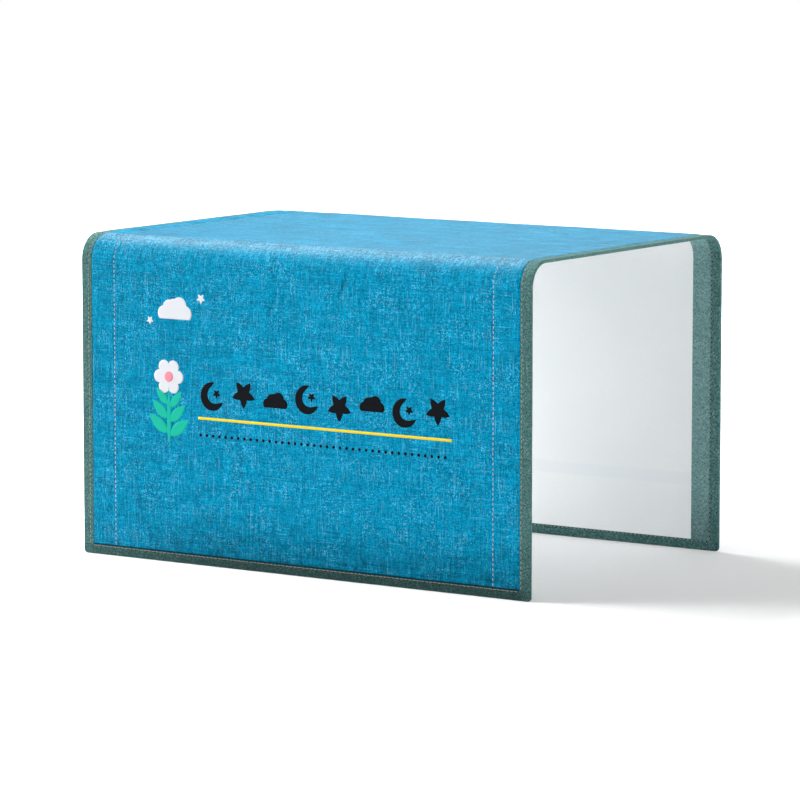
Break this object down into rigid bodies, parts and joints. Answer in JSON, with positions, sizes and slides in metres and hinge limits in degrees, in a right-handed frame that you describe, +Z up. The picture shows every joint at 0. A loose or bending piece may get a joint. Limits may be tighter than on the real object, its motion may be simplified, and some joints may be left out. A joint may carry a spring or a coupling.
{
  "type": "infant phototherapy unit",
  "caption": "Tunnel-shaped infant light therapy unit: thin fabric-bound panels fold under a top that carries a lamp and a small control box.",
  "frame": {"origin": "middle of the footprint on the surface that the two panels stand on", "axes": "+X along the tunnel, with the control box at the -X end; -Y is the front panel; +Z up"},
  "size_m": [0.56, 0.38, 0.34],
  "materials": {
    "blue_cloth": "linen-look woven, matt",
    "grey_green_felt": "brushed felt-like tape, matt",
    "facing_felt": "brushed felt-like, matt",
    "white_film": "smooth coated cloth, satin",
    "core_board": "stiff sheet, matt",
    "bar_steel": "plain flat bar",
    "tray_aluminium": "powder coated white, satin",
    "light_board": "white solder mask",
    "led": "clear lens over blue emitter",
    "diffuser": "opal sheet",
    "lamp_trim": "fine texture",
    "control_shell": "fine moulded texture",
    "circuit_board": "green solder mask",
    "display_dark": "smoked",
    "window_smoke": "polished",
    "indicator_green": "polished",
    "button_teal": "soft touch",
    "button_grey": "soft touch",
    "switch_black": "moulded",
    "inlet_black": "moulded",
    "screw_steel": "zinc plated",
    "cable_grey": "flat lead"
  },
  "bodies": {
    "top": {"top_cover": "blue_cloth", "top_core_board": "core_board", "corner_former_front": "core_board", "corner_former_rear": "core_board", "top_liner": "white_film", "top_facings": "facing_felt", "top_bindings": "grey_green_felt", "top_rails": "bar_steel", "front_hinge_pins": "screw_steel", "rear_hinge_pins": "screw_steel", "light_housing": "tray_aluminium", "led_board_1": "light_board", "led_board_2": "light_board", "led_board_3": "light_board", "led_packages": "led", "light_diffuser": "diffuser", "light_bezel": "lamp_trim", "housing_screws": "screw_steel", "bezel_screws": "screw_steel", "light_harness": "cable_grey", "control_case": "control_shell", "control_backplate": "control_shell", "control_board": "circuit_board", "driver_board": "circuit_board", "display_module": "display_dark", "display_window": "window_smoke", "indicator_lens": "indicator_green", "button_switches": "switch_black", "dc_inlet": "inlet_black", "control_screws": "screw_steel"},
    "front_panel": {"front_cover": "blue_cloth", "front_core_board": "core_board", "front_liner": "white_film", "front_facings": "facing_felt", "front_binding": "grey_green_felt", "front_legs": "bar_steel", "front_led_strip": "light_board", "front_strip_leds": "led", "front_led_cable": "cable_grey", "front_fold_cover": "blue_cloth", "front_fold_liner": "white_film", "front_fold_facings": "facing_felt", "front_fold_bindings": "grey_green_felt"},
    "rear_panel": {"rear_cover": "blue_cloth", "rear_core_board": "core_board", "rear_liner": "white_film", "rear_facings": "facing_felt", "rear_binding": "grey_green_felt", "rear_legs": "bar_steel", "rear_led_strip": "light_board", "rear_strip_leds": "led", "rear_led_cable": "cable_grey", "rear_fold_cover": "blue_cloth", "rear_fold_liner": "white_film", "rear_fold_facings": "facing_felt", "rear_fold_bindings": "grey_green_felt"},
    "power_button": {"power_button": "button_teal"},
    "timer_up_button": {"timer_up_button": "button_grey"},
    "timer_down_button": {"timer_down_button": "button_grey"}
  },
  "joints": [
    {"name": "front_fold", "type": "hinge", "parent": "top", "child": "front_panel", "pos_m": [0, -0.1883, 0.31], "axis": [1, 0, 0], "range_deg": [0, 90], "deforming": ["front_fold_cover", "front_fold_liner", "front_fold_facings", "front_fold_bindings", "front_led_cable"]},
    {"name": "rear_fold", "type": "hinge", "parent": "top", "child": "rear_panel", "pos_m": [0, 0.1883, 0.304], "axis": [-1, 0, 0], "range_deg": [0, 90], "deforming": ["rear_fold_cover", "rear_fold_liner", "rear_fold_facings", "rear_fold_bindings", "rear_led_cable"]},
    {"name": "power_press", "type": "slide", "parent": "top", "child": "power_button", "axis": [1, 0, 0], "range_m": [0, 0.0008], "stiffness_N_per_m": 800, "springref_m": -0.0005},
    {"name": "timer_up_press", "type": "slide", "parent": "top", "child": "timer_up_button", "axis": [1, 0, 0], "range_m": [0, 0.0008], "stiffness_N_per_m": 800, "springref_m": -0.0005},
    {"name": "timer_down_press", "type": "slide", "parent": "top", "child": "timer_down_button", "axis": [1, 0, 0], "range_m": [0, 0.0008], "stiffness_N_per_m": 800, "springref_m": -0.0005}
  ]
}
